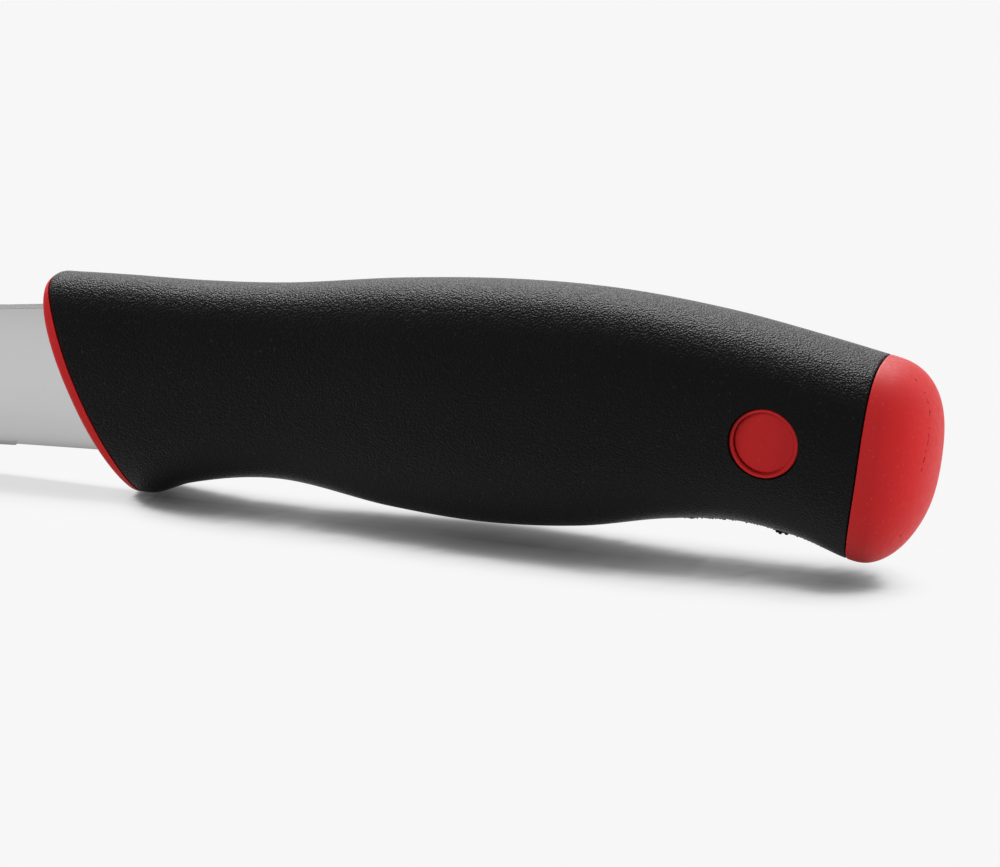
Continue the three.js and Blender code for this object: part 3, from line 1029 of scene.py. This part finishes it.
def partingPath():  # down the dome, where a nearly upright sheet cuts it
    mesh, inside = capPiece.data, handlePlace.inverted()
    places = [inside @ corner.co for corner in mesh.vertices]
    beside = [place.y + lineAt(parting["offMiddle"], place.z) for place in places]
    dome = []
    for edge in mesh.edges:
        first, second = edge.vertices
        if beside[first] * beside[second] < 0 and places[first].x > skin["capFoot"] + cap["length"] / 2:
            share = beside[first] / (beside[first] - beside[second])
            out = mesh.vertices[first].normal.lerp(mesh.vertices[second].normal, share)
            dome.append((places[first].lerp(places[second], share), out))
    path = []
    for high, low in parting["heights"]:
        for k in range(1 + int((high - low) / parting["spacing"])):
            z = high - parting["spacing"] * k
            place, out = min(dome, key=lambda one: abs(one[0].z - z))
            path.append((place, out.normalized(), (1, 1, 1), parting["kept"]))
    return path


flashPiece = markPiece("flash_nibs", flashPath(), flash, softBlack)
# the parting marks wear a darker red, painted shade of the pits they stand for
partingPiece = markPiece("parting_marks", partingPath(), parting, partingShadeRed)
print("mould marks:", len(flashPiece.data.polygons), "and", len(partingPiece.data.polygons), "faces")


# nodes that stay as solids get their own finish

for name, finish in (("handle_core", corePlastic), ("tang_pin_front", pinSteel), ("tang_pin_rear", pinSteel)):
    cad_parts[name].data.materials.clear()
    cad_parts[name].data.materials.append(finish)


# every new piece rides on the one body, and the solids that new pieces replace are hidden

standsFor = {
    "grip": (gripPiece, "soft_black"),
    "front_collar": (collarPiece, "red_plastic"),
    "butt_cap": (capPiece, "red_plastic"),
    "badge": (badgePiece, "red_plastic"),
    "blade": (bladePiece, "blade_steel"),
}
for node, (piece, slot) in standsFor.items():
    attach(piece, "root")
    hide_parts(node)
for piece, slot in ((flashPiece, "soft_black"), (partingPiece, "red_plastic")):
    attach(piece, "root")


# floor, lamps and world

studio = {
    "floorSize": 6.0,
    "white": 0.93,
    "floorLight": 0.35,  # what the floor gives to the knife's dull surfaces
    "front": 0.2,  # level of the room in front of the knife, behind the camera
    "frontTo": (-0.25, 0.25),
    "shadowRays": 240,
    "shadowStep": 0.0015,
    "shadowMargin": 0.036,
    "lowestRay": 0.17,
    "rayLift": 1e-5,
    "shadows": {  # most of the light comes from above and behind
        "handle": {"from": (-0.28, 0.41, 0.91), "spread": (1.0, 0.8), "reach": 0.018, "levels": [
            (0.0, 0.05), (0.1, 0.12), (0.15, 0.15), (0.2, 0.2), (0.25, 0.32), (0.3, 0.56), (0.35, 0.77),
            (0.4, 0.88), (0.5, 0.98), (0.7, 1.0), (1.0, 1.0),
        ]},
        "blade": {"from": (0.0, 0.28, 0.96), "spread": (0.3, 0.3), "reach": 0.028, "levels": [
            (0.0, 0.78), (0.4, 0.8), (0.5, 0.88), (0.6, 0.94), (0.7, 0.97), (0.9, 1.0), (1.0, 1.0),
        ]},
    },
    "softboxes": {
        "topSoftbox": {"place": (-0.14, 0.52, 0.53), "size": (0.55, 0.5), "power": 7.2},
        "rightSoftbox": {"place": (0.52, -0.03, 0.03), "size": (0.4, 0.05), "power": 1.95, "fill": True},
        "leftSoftbox": {"place": (-0.6, -0.5, 0.3), "size": (0.4, 0.4), "power": 4.6, "fill": True},
        "frontSoftbox": {"place": (0.1, -0.9, 0.6), "size": (0.6, 0.6), "power": 1.4, "fill": True},
    },
}


def skyRays(light):  # rays spread round the light's direction
    lean = Vector((0, 0, 1)).rotation_difference(Vector(light["from"]))
    count, (wide, deep) = studio["shadowRays"], light["spread"]
    rays = []
    for k in range(count):
        spread, turn = math.sqrt((k + 0.5) / count), k * math.pi * (3 - math.sqrt(5))
        x, y = wide * spread * math.cos(turn), deep * spread * math.sin(turn)
        ray = lean @ Vector((x, y, math.sqrt(1 - x * x - y * y)))
        if ray.z > studio["lowestRay"]:
            rays.append(ray)
    return rays


def floorLines(low, high):  # close together under the knife only
    half, step, margin = studio["floorSize"] / 2, studio["shadowStep"], studio["shadowMargin"]
    count = math.ceil((high - low + 2 * margin) / step)
    return [-half] + [low - margin + step * k for k in range(count + 1)] + [half]


def treeOf(pieces):
    corners, faces = [], []
    for piece in pieces:
        start = len(corners)
        corners += [corner.co for corner in piece.data.vertices]
        faces += [[start + k for k in face.vertices] for face in piece.data.polygons]
    return BVHTree.FromPolygons(corners, faces)


def castShade(spots, pieces, light):  # how much of the slanted sky each spot sees past the pieces
    tree, rays, reach = treeOf(pieces), skyRays(light), light["reach"]
    shade = []
    for spot in spots:
        start = Vector(spot) + Vector((0, 0, studio["rayLift"]))
        if tree.find_nearest(start, reach)[0] is None:
            shade.append(1.0)
        else:
            shade.append(sum(tree.ray_cast(start, ray, reach)[0] is None for ray in rays) / len(rays))
    return shade


def makeFloor():  # even white, apart from the knife's soft shadow
    xLines, yLines = (floorLines(cadBounds[0][axis], cadBounds[1][axis]) for axis in (0, 1))
    spots = [(x, y, 0) for y in yLines for x in xLines]
    across = len(xLines)
    corners = [row * across + k for row in range(len(yLines) - 1) for k in range(across - 1)]
    mesh = meshOf("floor", spots, [(k, k + 1, k + across + 1, k + across) for k in corners])
    finish = bpy.data.materials.new("floorWhite")
    finish.use_nodes = True
    finish.cycles.emission_sampling = "NONE"
    tree = finish.node_tree
    tree.nodes.clear()
    ray = addNode(tree, "ShaderNodeLightPath").outputs
    mirrored = calc(tree, "MAXIMUM", ray["Is Glossy Ray"], ray["Is Transmission Ray"])
    seen = calc(tree, "MAXIMUM", ray["Is Camera Ray"], mirrored)
    level = addNode(tree, "ShaderNodeMapRange", {
        "Value": seen, "To Min": studio["floorLight"], "To Max": studio["white"]}).outputs[0]
    pieces = {"handle": (gripPiece, collarPiece, capPiece, badgePiece), "blade": (bladePiece,)}
    for name, light in studio["shadows"].items():
        shade = castShade(spots, pieces[name], light)
        writeValues(mesh, name + "Shade", shade)
        share = addNode(tree, "ShaderNodeAttribute", attribute_name=name + "Shade").outputs["Fac"]
        level = calc(tree, "MULTIPLY", level, shaped(tree, share, light["levels"]))
    glow = addNode(tree, "ShaderNodeEmission", {"Strength": level})
    addNode(tree, "ShaderNodeOutputMaterial", {"Surface": glow.outputs[0]})
    mesh.materials.append(finish)
    newPiece("floor", mesh)


def makeLamps():
    for name, box in studio["softboxes"].items():
        lamp = newPiece(name, bpy.data.lights.new(name, "AREA"))
        lamp.data.shape = "RECTANGLE"
        lamp.data.size, lamp.data.size_y = box["size"]
        lamp.data.energy = box["power"]
        lamp.location = box["place"]
        lamp.visible_glossy = not box.get("fill", False)  # a fill leaves no highlight
        lamp.rotation_euler = (view["target"] - lamp.location).to_track_quat("-Z", "Y").to_euler()


def makeWorld():  # white all round, dimmer in front
    world = bpy.data.worlds.new("studio")
    scene.world = world
    world.use_nodes = True
    tree = world.node_tree
    direction = addNode(tree, "ShaderNodeTexCoord").outputs["Generated"]
    backward = addNode(tree, "ShaderNodeSeparateXYZ", {0: direction}).outputs["Y"]
    level = addNode(tree, "ShaderNodeMapRange", {
        "Value": backward, "From Min": studio["frontTo"][0], "From Max": studio["frontTo"][1],
        "To Min": studio["front"], "To Max": studio["white"]}, interpolation_type="SMOOTHSTEP")
    tree.links.new(level.outputs[0], tree.nodes["Background"].inputs["Strength"])
    tree.nodes["Background"].inputs["Color"].default_value = (1, 1, 1, 1)


# camera: the photograph's angle, worked out for a frame of 1000 by 867

view = {
    "azimuth": math.radians(18),
    "elevation": math.radians(20.5),
    "distance": 0.62,
    "focalPixels": 5177,
    "imageWidth": 1000,
    "clipStart": 0.02,
    "target": handlePlace @ Vector((57.85, 0, 12.3875)),
}


def makeCamera():
    camera = newPiece("camera", bpy.data.cameras.new("camera"))
    camera.data.lens = view["focalPixels"] / view["imageWidth"] * camera.data.sensor_width
    camera.data.clip_start = view["clipStart"]
    turn, rise = view["azimuth"], view["elevation"]
    flat = math.cos(rise)
    back = Vector((math.sin(turn) * flat, -math.cos(turn) * flat, math.sin(rise)))
    camera.location = view["target"] + back * view["distance"]
    camera.rotation_euler = back.to_track_quat("Z", "Y").to_euler()
    scene.camera = camera


makeFloor()
makeLamps()
makeWorld()
makeCamera()
print("studio ready")
